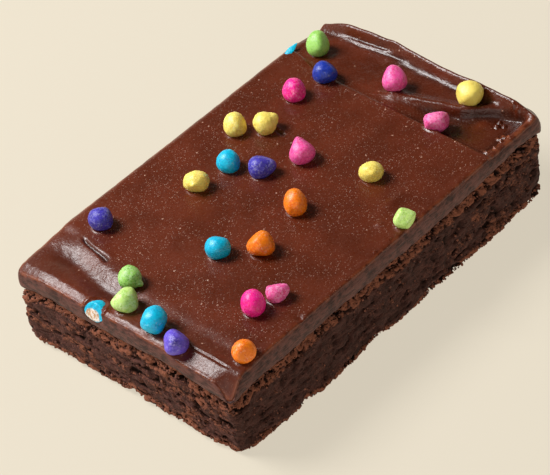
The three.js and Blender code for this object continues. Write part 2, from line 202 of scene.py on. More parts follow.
# Rings and points a ring of each ball
CHIP_GRID = (38, 56)
CUT_CHIP_GRID = (48, 72)
FLAKE_GRID = (24, 40)
CRUMB_GRID = (3, 6)

# A chip's usual radius in millimetres, which turns the pebbling's height into a share
CHIP_RADIUS = 2.3


# Settings that a user can change


class IcingSettings(bpy.types.PropertyGroup):
    """Finish of the fudge icing"""

    colour: FloatVectorProperty(
        name="Top colour",
        description="Colour of the spread surface",
        subtype="COLOR",
        default=srgb(92, 35, 14),
    )
    cut_colour: FloatVectorProperty(
        name="Cut colour",
        description="Colour of the knife-cut sides",
        subtype="COLOR",
        default=srgb(88, 53, 47),
    )
    lip: FloatProperty(
        name="Lip",
        description="Height of the rim that the icing forms round a chip",
        default=0.00026,
        unit="LENGTH",
    )
    gloss: FloatProperty(
        name="Gloss",
        description="How sharply the top mirrors the light",
        subtype="FACTOR",
        default=0.68,
        min=0,
        max=1,
    )
    specks: FloatProperty(
        name="Specks",
        description="Amount of fine pale specks on the top",
        subtype="FACTOR",
        default=0.8,
        min=0,
        max=1,
    )


class CakeSettings(bpy.types.PropertyGroup):
    """Relief and colours of the cake's cut sides"""

    crumb_depth: FloatProperty(
        name="Crumb depth", description="Height of the broken crumb", default=0.00022, unit="LENGTH"
    )
    pore_depth: FloatProperty(
        name="Pore depth", description="Depth of the open pores", default=0.0009, unit="LENGTH"
    )
    smear_colour: FloatVectorProperty(
        name="Smear colour",
        description="Colour where the knife smeared the crumb",
        subtype="COLOR",
        default=srgb(86, 54, 48),
    )
    crumb_colour: FloatVectorProperty(
        name="Crumb colour",
        description="Colour of the open crumb",
        subtype="COLOR",
        default=srgb(126, 77, 59),
    )
    # Painted shade: the near-black colour painted into the pores, the creases, under the icing and over the
    # front face.
    pore_shade_colour: FloatVectorProperty(
        name="Pore colour",
        description="Colour deep in the pores",
        subtype="COLOR",
        default=srgb(24, 7, 2),
    )
    crumb_count: IntProperty(
        name="Crumbs", description="Number of loose crumbs that stick to the sides", default=3600, min=0
    )
    crumb_size: FloatProperty(
        name="Crumb size", description="Radius of the larger loose crumbs", default=0.0003, unit="LENGTH"
    )


class CandySettings(bpy.types.PropertyGroup):
    """Finish of the candy shells"""

    pebble: FloatProperty(
        name="Pebbling", description="Height of the fine lumps on a shell", default=0.00003, unit="LENGTH"
    )
    gloss: FloatProperty(
        name="Gloss",
        description="How sharply the shells mirror the light",
        subtype="FACTOR",
        default=0.65,
        min=0,
        max=1,
    )


class StageSettings(bpy.types.PropertyGroup):
    """Floor and lights"""

    floor_colour: FloatVectorProperty(
        name="Floor colour",
        description="Colour of the floor and backdrop",
        subtype="COLOR",
        default=srgb(232, 222, 202),
    )
    floor_shadow: FloatProperty(
        name="Shadow",
        description="How much the slab's shadow shows on the floor",
        subtype="FACTOR",
        default=0.22,
    )
    ceiling: FloatProperty(
        name="Ceiling",
        description="Brightness above, as a share of the backdrop's",
        subtype="FACTOR",
        default=0.1,
    )
    key_power: FloatProperty(
        name="Key light", description="Power of the main light", default=6.6, unit="POWER"
    )
    fill_power: FloatProperty(
        name="Fill light", description="Power of the front light", default=1.0, unit="POWER"
    )
    key_width: FloatProperty(
        name="Key width", description="Width of the main light", default=0.3, unit="LENGTH"
    )


# Shapes given by formula, in millimetres


def bell(distance, width):
    """A bell curve of height 1: e to the minus (distance over width) squared."""
    return np.exp(-((distance / width) ** 2))


def ramp(value, low, high):
    """Smooth step from 0 at low to 1 at high: 3t^2 - 2t^3 of the share t."""
    share = np.clip((value - low) / (high - low), 0, 1)
    return share * share * (3 - 2 * share)


# Weights and factors that turn a cell's place into numbers that look random
CELL_WEIGHTS = (127.1, 311.7, 74.7)
NOISE_SCATTER = 43758.5453
LUMP_SCATTER = (43758.5, 22578.1, 19642.3)


def cell_wave(cell):
    """The sine of a weighted sum of a cell's place along X, Y and Z."""
    return np.sin(cell[0] * CELL_WEIGHTS[0] + cell[1] * CELL_WEIGHTS[1] + cell[2] * CELL_WEIGHTS[2])


def noise(x, y, z):
    """Value noise from -1 to 1: random numbers at whole-number points, blended with 3t^2 - 2t^3."""
    point = np.broadcast_arrays(x, y, z)
    cell = [np.floor(v) for v in point]
    share = [(v - c) ** 2 * (3 - 2 * (v - c)) for v, c in zip(point, cell)]
    total = np.zeros(point[0].shape)
    for corner in range(8):
        step = [corner >> axis & 1 for axis in range(3)]
        wave = NOISE_SCATTER * cell_wave([c + s for c, s in zip(cell, step)])
        weight = 1
        for s, t in zip(step, share):
            weight = weight * (t if s else 1 - t)
        total += weight * (wave - np.floor(wave))
    return 2 * total - 1


def lumps(x, y, z):
    """Round lumps from 0 to 1: 1 minus the squared distance to the nearest of the points scattered one in
    each unit cell, which leaves sharp creases between them."""
    place = np.stack(np.broadcast_arrays(x, y, z))
    cell = np.floor(place)
    nearest = np.full(place.shape[1:], 9.0)
    column = (3,) + (1,) * (place.ndim - 1)
    for step in np.ndindex(3, 3, 3):
        corner = cell + np.reshape(step, column) - 1
        wave = cell_wave(corner) * np.reshape(LUMP_SCATTER, column)
        away = place - corner - (wave - np.floor(wave))
        nearest = np.minimum(nearest, (away**2).sum(0))
    return np.clip(1 - 1.3 * nearest, 0, 1)


def to_corner(x, y, side_x, side_y):
    """Distance in plan to one of the slab's corners."""
    return np.hypot(x - side_x * HALF_X, y - side_y * HALF_Y)


def plan_point(u, v, inset, radius):
    """A point of a rectangle with round corners: u and v run from -1 to 1 across it. In a corner's square
    (a, b), the point is scaled by max(a, b) over the length of (a, b), which makes circles of squares. The
    right end's corners are rounder, most of all the one at the back, and that end bulges."""
    half_x, half_y = HALF_X - inset, HALF_Y - inset
    turn = radius + BACK_TURN * ((u > 0) & (v > 0)) + FRONT_TURN * ((u > 0) & (v < 0)) - inset
    turn = np.maximum(turn, 0.4)
    a = np.maximum(0, (np.abs(u) * half_x - (half_x - turn)) / turn)
    b = np.maximum(0, (np.abs(v) * half_y - (half_y - turn)) / turn)
    scale = turn * np.maximum(a, b) / np.maximum(np.hypot(a, b), 1e-9)
    straight = (a == 0) | (b == 0)
    x = np.where(straight, u * half_x, np.sign(u) * (half_x - turn + a * scale))
    y = np.where(straight, v * half_y, np.sign(v) * (half_y - turn + b * scale))
    return x + END_BULGE * ramp(x, 34, HALF_X) * ramp(y, -26, -8), y


def seam_height(x, y):
    """Height where icing and cake meet: a level with a slow wander, higher along the front and the front
    half of the left end, and lower at the left end's corners and the front right one."""
    wander = 0.35 * noise(x / 6 + 3.2, y / 6, 7.5)
    left_end = 0.8 * bell(y + 9, 9) * ramp(-x, 36, 41)
    front = (0.4 + 0.9 * ramp(x, 15, 32)) * ramp(-y, 10, 25) * ramp(x, -42, -33)
    dips = 1.2 * bell(to_corner(x, y, -1, 1), 4) + 0.3 * bell(to_corner(x, y, -1, -1), 3)
    dips += 1.2 * bell(to_corner(x, y, 1, -1), 2.2)
    return SEAM_HEIGHT + wander + left_end + front - dips


def along_line(x, y, start, end):
    """Place along a line as a share of its length, and signed distance to its left."""
    run = np.subtract(end, start)
    length = np.hypot(*run)
    along = ((x - start[0]) * run[0] + (y - start[1]) * run[1]) / length**2
    across = ((y - start[1]) * run[0] - (x - start[0]) * run[1]) / length
    return along, across


def groove(x, y, start, end, depth, width):
    """A groove along a line: a bell across it that fades at its ends, with a low bank on its left."""
    along, across = along_line(x, y, start, end)
    window = ramp(along, 0, 0.2) * (1 - ramp(along, 0.75, 1))
    return window * (0.4 * depth * bell(across - 1.8 * width, width) - depth * bell(across, width))


def bubble(x, y, centre, radius, height):
    """A dome with a shallow ring round it."""
    distance = np.hypot(x - centre[0], y - centre[1]) / radius
    return height * np.sqrt(np.maximum(0, 1 - distance**2)) - 0.35 * height * bell(distance - 1.15, 0.25)


# Start, end, depth and width of the blade's grooves
GROOVES = (
    ((-39.2, -12.5), (-39.2, -25.0), 0.3, 0.2),
    ((11.3, 13.0), (10.9, 8.6), 0.25, 0.3),
    ((39.6, 21.0), (41.0, 6.0), 0.35, 0.35),
    ((38.6, 18.0), (40.6, 1.0), 0.2, 0.3),
)

# Place, radius and height of each bubble
BUBBLES = (
    ((36.2, -20.4), 0.6, 0.45),
    ((37.4, -20.1), 0.45, 0.35),
    ((36.9, -21.6), 0.5, 0.4),
    ((39.6, -22.6), 0.5, 0.4),
    ((39.9, -21.4), 0.45, 0.35),
    ((34.0, -23.6), 0.6, 0.4),
    ((32.2, -24.6), 0.5, 0.35),
    ((29.2, -24.4), 0.6, 0.35),
    ((30.1, -24.8), 0.45, 0.35),
    ((-3.5, -25.3), 0.45, 0.25),
    ((0.4, -25.3), 0.35, 0.2),
)

# Ends of the crooked slit beside the trough
SLIT = ((-30.3, 21.0), (-32.6, 12.2))

# Ends of short curls of icing that the blade left
CURLS = (
    ((33.5, -22.5), (34.0, -25.2)),
    ((34.6, -22.9), (34.2, -24.6)),
    ((29.3, -22.9), (29.9, -25.2)),
    ((31.4, -24.2), (33.2, -24.9)),
    ((-35.6, -22.6), (-34.6, -24.8)),
)


def curls(x, y):
    """Share from 0 to 1 of the short curls: a bell across each, with round ends."""
    total = np.zeros(np.shape(x))
    for start, end in CURLS:
        along, across = along_line(x, y, start, end)
        window = ramp(along, -0.1, 0.15) * (1 - ramp(along, 0.85, 1.1))
        total += window * bell(across + 0.2 * np.sin(6 * along), 0.28)
    return total


def roll(inside, width, drop):
    """Fall towards an edge: a quarter ellipse that starts `width` inside it."""
    share = np.clip(1 - inside / width, 0, 1)
    return drop * (1 - np.sqrt(1 - share**2))


def flap_edge(x, y):
    """Where the curled flap at the right end starts, as a place along X."""
    return 29.3 + 0.3 * (2 - y) + 2.5 * ramp(-y, 13, 20) + 0.25 * noise(x / 3, y / 3, 1.5)


def left_end_border(x, y):
    """The left end's relief: the blade's trough, deeper and further from the end in its back part, a lower
    border past it, and a slant along the end."""
    to_back = ramp(y, -2, 8)
    back_edge = ramp(y, 18, 26)
    trough_x = -35.4 - 1.9 * (1 - ramp(y, 6, 20))
    trough_width = np.where(x > trough_x, 2.2 + 0.6 * ramp(y, 8, 20), 2.6)
    left = -(1.4 - 1.1 * back_edge) * to_back * bell(x - trough_x, trough_width)
    left -= 0.35 * (1 - to_back) * bell(x + 36.5, 1.8)
    left -= to_back * (0.3 * (1 - ramp(x, -40, -33)) + 0.4 * back_edge * (1 - ramp(x, -31.5, -29)))
    bevel = np.maximum(0, 1.2 + 0.8 * ramp(y, 3, 8) + 1.9 * ramp(-y, 10, 14) - (HALF_X + x))
    return left - 0.5 * bevel**2 / (bevel + 0.4)


def score_line(y):
    """Where the score across the right end runs, as a place along X."""
    return 27.8 + 0.02 * y + 2 * ramp(y, 15, 25)


def right_end_flap(x, y):
    """The relief past the score: a slight step down, a hollow that deepens towards the front and ends behind
    a rim there, and the curl of the flap on its far side."""
    past_score = ramp(x - score_line(y), 0, 0.45)
    flap_x = flap_edge(x, y)
    behind_rim = 1 - ramp(-y, 23.6, 25.4)
    hollow = 1.45 * ramp(-y, 0, 13) * behind_rim * past_score * (1 - ramp(x - flap_x, -0.1, 0.9))
    curl = 0.65 * bell(x - flap_x - 1.3, 1.2) * ramp(y, -23, -16) * (1 - ramp(y, -1, 5))
    return curl - hollow - 0.25 * past_score


def right_end_ridge(x, y):
    """The ridge along the right end, lower towards both corners, the dip in front of its back half, and a
    thin bank beside the score."""
    crest_x = 40.6 + 1.1 * bell(y - 10, 8)
    height = 2.15 + 0.35 * bell(y + 12.5, 3) - 0.15 * bell(y + 5, 2) - 0.5 * ramp(y, 20, 26)
    ridge = height * (0.6 + 0.4 * ramp(y, -24.5, -21)) * bell(x - crest_x, 1.1)
    ridge -= 0.35 * ramp(y, -4, 1) * bell(x - 36.5, 2.5)
    return ridge + 0.07 * bell(x - score_line(y) + 0.35, 0.35) * (1 - ramp(y, 14, 20))


def icing_level(x, y):
    """Height of the icing: a flat middle with a slow sway, the relief of both ends, and a fall to the sides
    and corners."""
    sides = roll(HALF_X + x, 0.8, 0.4) + roll(HALF_X - x, 1.2, 0.7)
    sides += roll(HALF_Y + y, 0.9, 0.4) + roll(HALF_Y - y, 1.4, 0.6)
    corners = 2.9 * bell(to_corner(x, y, -1, -1), 2.4) + 0.6 * bell(to_corner(x, y, -1, 1), 4)
    corners += 1.6 * bell(to_corner(x, y, 1, -1), 1.7) + 2.1 * bell(to_corner(x, y, 1, 1), 4)
    level = TOP_HEIGHT + 0.15 * noise(x / 9, y / 9, 3.5)
    level = level + left_end_border(x, y) + right_end_flap(x, y) + right_end_ridge(x, y)
    return level - sides - corners


def slit(x, y):
    """Share from 0 to 1 of the crooked slit beside the trough: a bell across it, wider at its lower end."""
    along, across = along_line(x, y, *SLIT)
    width = 0.24 + 0.24 * ramp(along, 0.45, 0.9)
    bend = 0.22 * np.sin(5 * along + 0.5)
    return ramp(along, 0, 0.15) * (1 - ramp(along, 0.9, 1)) * bell(across + bend, width)


def icing_marks(x, y):
    """Small marks on the icing: the slit, grooves, a few low knobs and a dent, bubbles, curls and a slight
    unevenness of the spread surface, greater at the right end."""
    marks = -0.6 * slit(x, y)
    for start, end, depth, width in GROOVES:
        marks += groove(x, y, start, end, depth, width)
    marks += 0.3 * bell(np.hypot(x - 2.3, y + 21.4), 0.8) + 0.3 * bell(np.hypot((x - 8) / 3.2, y + 19.5), 1.1)
    marks -= 0.35 * bell(np.hypot(x + 23.5, y + 25.6), 0.7)
    for centre, radius, height in BUBBLES:
        marks += bubble(x, y, centre, radius, height)
    marks += 0.4 * curls(x, y)
    past_score = ramp(x, 27.5, 31)
    uneven = 0.035 * noise(x / 2.4, y / 2.4, 5.1) + 0.012 * noise(x / 0.9, y / 0.9, 2.2)
    uneven += 0.16 * ramp(x, 36, 39) * noise(x / 2.2, y / 2.8, 9.1)
    return marks + uneven + past_score * 0.07 * noise(x / 1.6 + 4, y / 2.6, 8.3)


# Meshes


def build(name, points, quads, triangles=(), **fields):
    """A smooth mesh from arrays: points in millimetres, faces as rows of indices, and one number a point for
    each field."""
    quads, triangles = np.reshape(quads, (-1, 4)), np.reshape(triangles, (-1, 3))
    corners = np.concatenate([quads.ravel(), triangles.ravel()]).astype(np.int32)
    counts = np.repeat([4, 3], [len(quads), len(triangles)])
    mesh = bpy.data.meshes.new(name)
    mesh.vertices.add(len(points))
    mesh.vertices.foreach_set("co", (np.asarray(points) * MM).astype(np.float32).ravel())
    mesh.loops.add(len(corners))
    mesh.loops.foreach_set("vertex_index", corners)
    mesh.polygons.add(len(counts))
    mesh.polygons.foreach_set("loop_start", (np.cumsum(counts) - counts).astype(np.int32))
    mesh.update(calc_edges=True)
    if mesh.validate():
        raise RuntimeError(f"{name} has faulty faces")
    mesh.shade_smooth()
    for field, values in fields.items():
        numbers = np.asarray(values, np.float32).ravel()
        mesh.attributes.new(field, "FLOAT", "POINT").data.foreach_set("value", numbers)
    return mesh


def place(name, mesh, slot, *nodes):
    """Adds the piece to the scene, riding on the slab, in the place of its solids."""
    piece = bpy.data.objects.new(name, mesh)
    bpy.context.scene.collection.objects.link(piece)
    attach(piece, "root")
    if nodes:
        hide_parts(*nodes)
    return piece


def bands(rings):
    """Quads between closed rings of point indices, each ring lying under or inside the one before it. The
    rings run anticlockwise seen from above."""
    nearer, further = rings[:-1], rings[1:]
    return np.stack([nearer, further, np.roll(further, -1, 1), np.roll(nearer, -1, 1)], -1).reshape(-1, 4)


def fan(centre, ring, faces_up):
    """Triangles from a centre point to a ring."""
    following = np.roll(ring, -1)
    pair = (ring, following) if faces_up else (following, ring)
    return np.stack([np.full_like(ring, centre), *pair], -1)


def grid_lines(stretches, half):
    """Places of grid lines from -1 to 1, each stretch evenly divided."""
    lines = [np.linspace(start, end, cells, endpoint=False) for start, end, cells in stretches]
    return np.concatenate([*lines, [stretches[-1][1]]]) / half


def border_of(across, along):
    """The four sides of the plan as (u, v), anticlockwise from the front left corner."""
    u = np.concatenate([across[:-1], np.ones(len(along) - 1), across[:0:-1], -np.ones(len(along) - 1)])
    v = np.concatenate([-np.ones(len(across) - 1), along[:-1], np.ones(len(across) - 1), along[:0:-1]])
    return u, v


def chip_places():
    """Middle and radius of each whole chip in millimetres, from its solid's box."""
    boxes = np.array([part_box(name) for name in CHIP_FORMS]) / MM
    return boxes.mean(1), (boxes[:, 1] - boxes[:, 0]).mean(1) / 2


def cut_chip_place():
    """Middle and radius of the cut chip in millimetres, from its solid's box."""
    low, high = np.array(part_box("candy_cyan_cut")) / MM
    radius = (high - low)[1] / 2
    return np.array([high[0] - radius, (low + high)[1] / 2, low[2] + CUT_RISE * radius]), radius


def past_cut(points, middle, radius):
    """How far points lie outside the slanted cut of the cut chip."""
    return (middle - points) @ CUT_SLANT - CUT_OFFSET * radius


def beside_cut_chip(points):
    """How far the icing in front of the cut chip's cut face is pressed back, along the cut's slant."""
    middle, radius = cut_chip_place()
    away = (points - middle) / radius
    window = 1 - ramp(np.hypot(away[:, 1], (away[:, 2] + 0.1) / 0.85), 0.85, 1.15)
    return np.maximum(past_cut(points, middle, radius) + 0.15, 0) * window * (away[:, 0] < 0)


def chip_lips(x, y, level, height):
    """Rim of icing round each chip: a bell across the circle where the chip's ball meets the icing."""
    raised = np.zeros(x.shape)
    for middle, radius in zip(*chip_places()):
        near = np.hypot(x - middle[0], y - middle[1]) < radius + 1.5
        above = middle[2] - level[near]
        contact = np.sqrt(np.maximum(radius**2 - above**2, 0.3))
        distance = np.hypot(x[near] - middle[0], y[near] - middle[1])
        raised[near] += height * bell(distance - contact - 0.05, 0.3)
    middle, radius = cut_chip_place()
    return raised + 1.3 * height * bell(np.hypot(x - middle[0], y - middle[1]) - radius - 0.25, 0.35)


def smoothed(height, reach):
    """The mean of a grid of heights over a square of cells round each point, its border repeated outwards."""
    for axis in (0, 1):
        edges = [(0, 0), (0, 0)]
        edges[axis] = (reach + 1, reach)
        total = np.cumsum(np.pad(height, edges, mode="edge"), axis)
        size = height.shape[axis]
        high = np.take(total, np.arange(2 * reach + 1, 2 * reach + 1 + size), axis)
        low = np.take(total, np.arange(size), axis)
        height = (high - low) / (2 * reach + 1)
    return height


def icing_fields(x, y, z, level, lips):
    """What the icing's paint reads over its top: how far the blade worked it, how much painted shade it gets
    and how wet it is, as shares from 0 to 1, and the burr along its edges. The painted shade darkens hollows,
    the sunk part past the score, the slit and a band under the flap's edge, grows towards the front and the
    right end, and a painted highlight takes it off a patch in the hollow before the flap."""
    inside = np.minimum(HALF_X - np.abs(x), HALF_Y - np.abs(y))
    far_rim = bell(y + 25.5, 0.6) * ramp(x, 28.5, 30) * (1 - ramp(x, 38, 41))
    burr = bell(inside - 0.15, 0.3) + 1.2 * curls(x, y) + far_rim
    left_end = ramp(-x, 30, 33) * ramp(y, -2, 4) + ramp(-x, 35, 37.5)
    worked = left_end + ramp(x, 27.5, 30) + 0.4 * ramp(-y, 24, 25.5)
    # Painted shade over the sunk part past the score, short of the ridge.
    hollow_shade = ramp(TOP_HEIGHT - level, 0.35, 1.1) * ramp(x, 27, 28.5) * (1 - ramp(x, 37.5, 40))
    # Painted shade in recesses: darker where the top lies under the mean of its surroundings, less so near
    # the edges.
    darkened = np.clip((smoothed(z, 9) - z) / 0.6, 0, 1) * ramp(inside, 0.5, 2.2) + 0.25 * hollow_shade
    # Painted shade that grows towards the front and towards the right end, as a fall-off of the light.
    darkened += 0.15 * ramp(-y, 2, 25) + 0.1 * ramp(x, 5, 25)
    # Painted shadow in a band under the flap's edge, and a painted highlight patch in the hollow before the
    # flap.
    shadow_under_flap = bell(x - flap_edge(x, y) - 0.2, 0.5) * ramp(-y, 11, 14) * (1 - ramp(-y, 20.5, 23))
    painted_highlight_patch = bell(np.hypot((x - 35.3) / 1.6, (y + 17.5) / 0.9), 1)
    # Painted shade in the slit, the painted shadow under the flap, and the painted highlight patch that takes
    # shade off.
    darkened += 0.9 * shadow_under_flap + 1.4 * slit(x, y) - 0.9 * painted_highlight_patch
    wet = lips + sum(1.2 * bell(np.hypot(x - at[0], y - at[1]), 1.3 * radius) for at, radius, _ in BUBBLES)
    wet += ramp(x, 27.5, 29) * ramp(y + 26.3, 0.6, 1.6) * 0.5
    return {"worked": np.clip(worked, 0, 1), "darkened": np.clip(darkened, 0, 1), "wet": np.clip(wet, 0, 1)}, burr


# The radius of the icing's upright corners, the rows of its walls as shares of the way down, and how far the
# walls lie inside the outline at some of those shares
ICING_CORNER = 0.8
WALL_ROWS = (0.02, 0.06, 0.12, 0.2, 0.3, 0.4, 0.5, 0.6, 0.7, 0.8, 0.88, 0.95, 1)
WALL_PROFILE = ((0, 0.06), (0.06, 0), (0.12, -0.08), (0.3, -0.22), (0.6, -0.28), (0.9, -0.22), (1, -0.1))


def icing_mesh(lip):
    """The icing: a height over the plan for its top, then walls whose rings go down to the wandering seam."""
    across = grid_lines([(-HALF_X, -30, 52), (-30, 26, 176), (26, HALF_X, 84)], HALF_X)
    along = grid_lines([(-HALF_Y, -16, 46), (-16, HALF_Y, 150)], HALF_Y)
    u, v = np.meshgrid(across, along, indexing="ij")
    front = ramp(-v * HALF_Y, 23, 25.8)
    x, y = plan_point(u, v, 0.4 - OVERHANG - 0.2 * front, ICING_CORNER)
    level = icing_level(x, y)
    lips = chip_lips(x, y, level, 1)
    z = level + icing_marks(x, y) + lip * lips
    index = np.arange(x.size).reshape(x.shape)
    quads = np.stack([index[:-1, :-1], index[1:, :-1], index[1:, 1:], index[:-1, 1:]], -1).reshape(-1, 4)
    rim = np.concatenate([index[:-1, 0], index[-1, :-1], index[:0:-1, -1], index[0, :0:-1]])

    # The walls, dragged a little in and out, and ragged towards the seam
    share = np.array(WALL_ROWS)[:, None]
    inset = np.interp(share, *zip(*WALL_PROFILE))
    edge_u, edge_v = border_of(across, along)
    rim_z = z.ravel()[rim]
    wall_x, wall_y = plan_point(edge_u, edge_v, inset, ICING_CORNER)
    drag = 0.05 * noise(wall_x / 2.5, wall_y / 2.5, share * 9)
    drag += 0.03 * noise(wall_x / 0.8, wall_y / 0.8, share * 7)
    wall_x, wall_y = plan_point(edge_u, edge_v, inset + drag, ICING_CORNER)
    ragged = 0.25 * noise(wall_x / 1.1, wall_y / 1.1, 4.4) * share**3
    wall_z = rim_z + (seam_height(wall_x, wall_y) - rim_z) * share + ragged
    inner_x, inner_y = plan_point(edge_u, edge_v, 3, ICING_CORNER + 3)
    inner_z = np.full(len(rim), SEAM_HEIGHT)

    top = np.stack([x, y, z], -1).reshape(-1, 3)
    wall = np.stack([wall_x, wall_y, wall_z], -1).reshape(-1, 3)
    inner = np.stack([inner_x, inner_y, inner_z], -1)
    points = np.concatenate([top, wall, inner, [[0, 0, SEAM_HEIGHT]]])
    points += np.outer(beside_cut_chip(points), CUT_SLANT)
    rows = np.arange(len(top), len(points) - 1).reshape(-1, len(rim))
    rings = np.concatenate([rim[None], rows])
    below = np.concatenate([np.broadcast_to(share, wall_z.shape).ravel(), np.ones(len(rim) + 1)])
    fields, burr = icing_fields(x, y, z, level, lips)
    edge = np.concatenate([burr.ravel(), bell(below, 0.07)])
    rest = np.zeros(len(below))
    fields = {name: np.concatenate([values.ravel(), rest]) for name, values in fields.items()}
    wall_quads = bands(rings)
    caps = fan(len(points) - 1, rings[-1], False)
    mesh = build("icing", points, np.concatenate([quads, wall_quads]), caps, edge=edge, **fields)
    is_cut = np.repeat([0, 1], [len(quads) + len(rim), len(wall_quads) - len(rim) + len(caps)])
    mesh.polygons.foreach_set("material_index", is_cut.astype(np.int32))
    return mesh


# Chunks broken off the bottom edge: the side as its outward direction along X and Y, the place along that
# side, the half width and the height
BOTTOM_NOTCHES = (
    (0, -1, -25.5, 1.2, 0.8),
    (0, -1, -7.6, 2.8, 1),
    (0, -1, 8, 1.5, 0.4),
    (0, -1, 32.4, 1.3, 0.5),
    (-1, 0, -0.6, 2.3, 1.3),
    (-1, 0, -12.5, 1.4, 0.4),
    (0, 1, -19, 2, 1),
    (0, 1, 16, 1.6, 0.8),
    (1, 0, 9, 2, 1.1),
    (1, 0, -11, 1.5, 0.7),
)


def bottom_lift(x, y, z):
    """How far the bottom edge is lifted: the highest of the bells at the notches, fading upwards."""
    lift = np.zeros(np.shape(x + z))
    for side_x, side_y, middle, width, height in BOTTOM_NOTCHES:
        on_side = ramp(side_x * x / HALF_X if side_x else side_y * y / HALF_Y, 0.85, 0.93)
        lift = np.maximum(lift, on_side * height * bell((y if side_x else x) - middle, width))
    return lift * (1 - ramp(z, 1, 5))


def crumb_band(x, y, z):
    """Share from 0 to 1 of the bands of coarse crumb under the icing and at the base, with uneven borders."""
    wander = 0.7 * noise(x / 4, y / 4, 6.5)
    return ramp(z + wander, 10.6, 11.8) + 1 - ramp(z + wander, 0.8, 2)


def crumbliness(x, y, z):
    """Share from 0 to 1 of open crumb: whole in the bands under the icing and at the base, patchy between
    them, and smoothest on the front, where the knife smeared it."""
    bands_share = 1.2 * crumb_band(x, y, z)
    left = ramp(-x, 40, 41.2)
    front = ramp(-y, 24.2, 25.4)
    base = 0.3 + 0.1 * left - 0.3 * front * (1 - ramp(x, 8, 20))
    patches = 0.4 * noise(x / 3.6, y / 3.6, z / 1.8) + 0.2 * noise(x / 1.3, y / 1.3, z / 0.8)
    return np.clip(base + patches + bands_share, 0, 1)


def cake_rounding(z):
    """Radius of the cake's upright corners, wider below, and the inset of its quarter-ellipse bottom edge."""
    return 1.3 + 1.2 * (1 - z / SEAM_HEIGHT), 1 - np.sqrt(1 - np.clip(1 - z / 1.5, 0, 1) ** 2)


def cake_lean(x, y, z):
    """How far the sides stand out: the long sides lean outwards at the base, except at their front corners,
    the back corner of the left end stands out, and the recess under the icing lies inwards."""
    lean = 0.5 * ramp(np.abs(y), 24.5, 26)
    lean -= 0.8 * bell(to_corner(x, y, -1, -1), 6) + 0.8 * bell(to_corner(x, y, 1, -1), 7)
    corner = 0.5 * bell(to_corner(x, y, -1, 1), 5) * (1 - ramp(z, 11, 13))
    return lean * (1 - z / SEAM_HEIGHT) + corner - 0.45 * bell(z - 12.9, 0.9)


def pores(x, y, z):
    """Depth share of the open pores: the tops of two sizes of noise, stretched along the sides."""
    large = ramp(noise(x / 1.9 + 7, y / 1.9, z / 0.75 + 3), 0.36, 0.56)
    small = ramp(noise(x / 0.9, y / 0.9 + 5, z / 0.5), 0.42, 0.66)
    return np.maximum(large, 0.6 * small)


def cake_mesh(settings):
    """The cake: rings down the side, each standing out by the crumb's relief, closed by flat faces. Its top
    stays a small gap under the seam."""
    spacing, rows = 0.235, 60
    gap = 0.05
    across = np.linspace(-1, 1, round(2 * HALF_X / spacing) + 1)
    along = np.linspace(-1, 1, round(2 * HALF_Y / spacing) + 1)
    u, v = border_of(across, along)
    z = np.linspace(SEAM_HEIGHT, 0, rows)[:, None]
    corner, edge = cake_rounding(z)
    x0, y0 = plan_point(u, v, edge, corner)

    lumps_share = bell(z - 12.3, 1.5) + bell(z - 1.3, 1.8)
    relief = 0.25 * noise(x0 / 2.6, y0 / 2.6, z / 2.1)
    relief += 0.25 * (0.4 + lumps_share) * noise(x0 / 1.6 + 9, y0 / 1.6, z / 1.3)
    relief += cake_lean(x0, y0, z)
    open_crumb = crumbliness(x0, y0, z)
    fine = 1.9 * lumps(x0 / 1.35, y0 / 1.35, z / 0.95) + 0.8 * lumps(x0 / 0.66, y0 / 0.66 + 3, z / 0.58) - 1.7
    pore = pores(x0, y0, z) * (0.35 + 0.65 * open_crumb)
    coarse = (0.12 + 0.88 * open_crumb) * (1 + 0.7 * np.clip(crumb_band(x0, y0, z), 0, 1))
    relief += settings.crumb_depth / MM * fine * coarse - settings.pore_depth / MM * pore
    fade = ramp(z, 0, 0.5)
    x, y = plan_point(u, v, edge - relief * (0.4 + 0.6 * fade), corner)
    side_z = z * (seam_height(x, y) - gap) / SEAM_HEIGHT + bottom_lift(x, y, z)
    side_z += 0.12 * noise(x0 / 0.9, y0 / 0.9 + 8, z / 0.9) * fade * ramp(SEAM_HEIGHT - z, 0, 0.5)

    width = u.size
    top_x, top_y = plan_point(u, v, 3, 5)
    low_x, low_y = plan_point(u, v, 5, 7)
    flat = np.ones(width)
    side = np.stack([x, y, side_z], -1).reshape(-1, 3)
    top = np.stack([top_x, top_y, (SEAM_HEIGHT - gap) * flat], -1)
    low = np.stack([low_x, low_y, 0 * flat], -1)
    points = np.concatenate([top, side, low, [[0, 0, SEAM_HEIGHT - gap], [0, 0, 0]]])
    rings = np.arange(width * (rows + 2)).reshape(-1, width)
    caps = [fan(len(points) - 2, rings[0], True), fan(len(points) - 1, rings[-1], False)]

    # Painted light and shade: the open crumb's share falls in the low places between the lumps, so that their
    # tops show lighter and the creases darker.
    crumb = open_crumb * np.clip(0.6 + 0.4 * fine, 0, 1)
    # Painted shade in the pores, in the creases between the lumps and in a band right under the icing.
    crease = ramp(-fine, -0.1, 0.7) * open_crumb
    painted_pit_shade = np.clip(pore * 1.3 + 0.8 * crease + 0.6 * bell(z - SEAM_HEIGHT, 0.5), 0, 1)
    # The front field marks the front face, which the cake's paint darkens as painted shade.
    fields = {"crumb": crumb, "painted_pit_shade": painted_pit_shade, "front": ramp(-y, 24.6, 25.6)}
    rest = np.zeros(width)
    fields = {name: np.concatenate([rest, values.ravel(), rest, [0, 0]]) for name, values in fields.items()}
    return build("cake", points, bands(rings), np.concatenate(caps), **fields)


